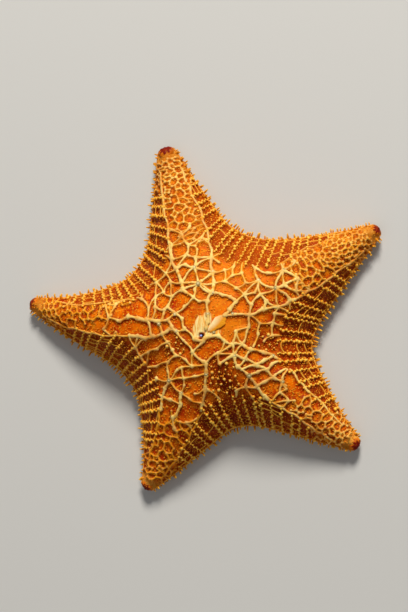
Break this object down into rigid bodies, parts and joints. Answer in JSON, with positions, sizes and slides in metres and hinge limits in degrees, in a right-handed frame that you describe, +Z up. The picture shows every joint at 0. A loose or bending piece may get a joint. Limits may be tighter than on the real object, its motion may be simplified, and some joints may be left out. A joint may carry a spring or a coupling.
{
  "type": "cushion sea star",
  "caption": "Life-size adult cushion sea star, domed disc with tapering spiny arms lying flat, as a still museum model",
  "frame": {"origin": "middle of the base of the bounding box, on the surface that the animal lies on", "axes": "+Z up, out of the back; +Y towards the arm that points nearly straight ahead (arm c), +X to its right"},
  "size_m": [0.2454, 0.237, 0.0493],
  "materials": {
    "skin": "wet orange skin over a yellow net of limy ridges",
    "arm_tip": "dark red granular skin",
    "eyespot": "wet deep red pad",
    "sieve_plate": "cream limy plate with fine winding grooves",
    "mouth_skin": "soft pale skin, moist"
  },
  "bodies": {
    "root": {"disc": "skin", "arm_a": "skin", "arm_b": "skin", "arm_c": "skin", "arm_d": "skin", "arm_e": "skin", "tip_a": "arm_tip", "tip_b": "arm_tip", "tip_c": "arm_tip", "tip_d": "arm_tip", "tip_e": "arm_tip", "eyespot_a": "eyespot", "eyespot_b": "eyespot", "eyespot_c": "eyespot", "eyespot_d": "eyespot", "eyespot_e": "eyespot", "madreporite": "sieve_plate", "mouth": "mouth_skin"}
  },
  "joints": []
}
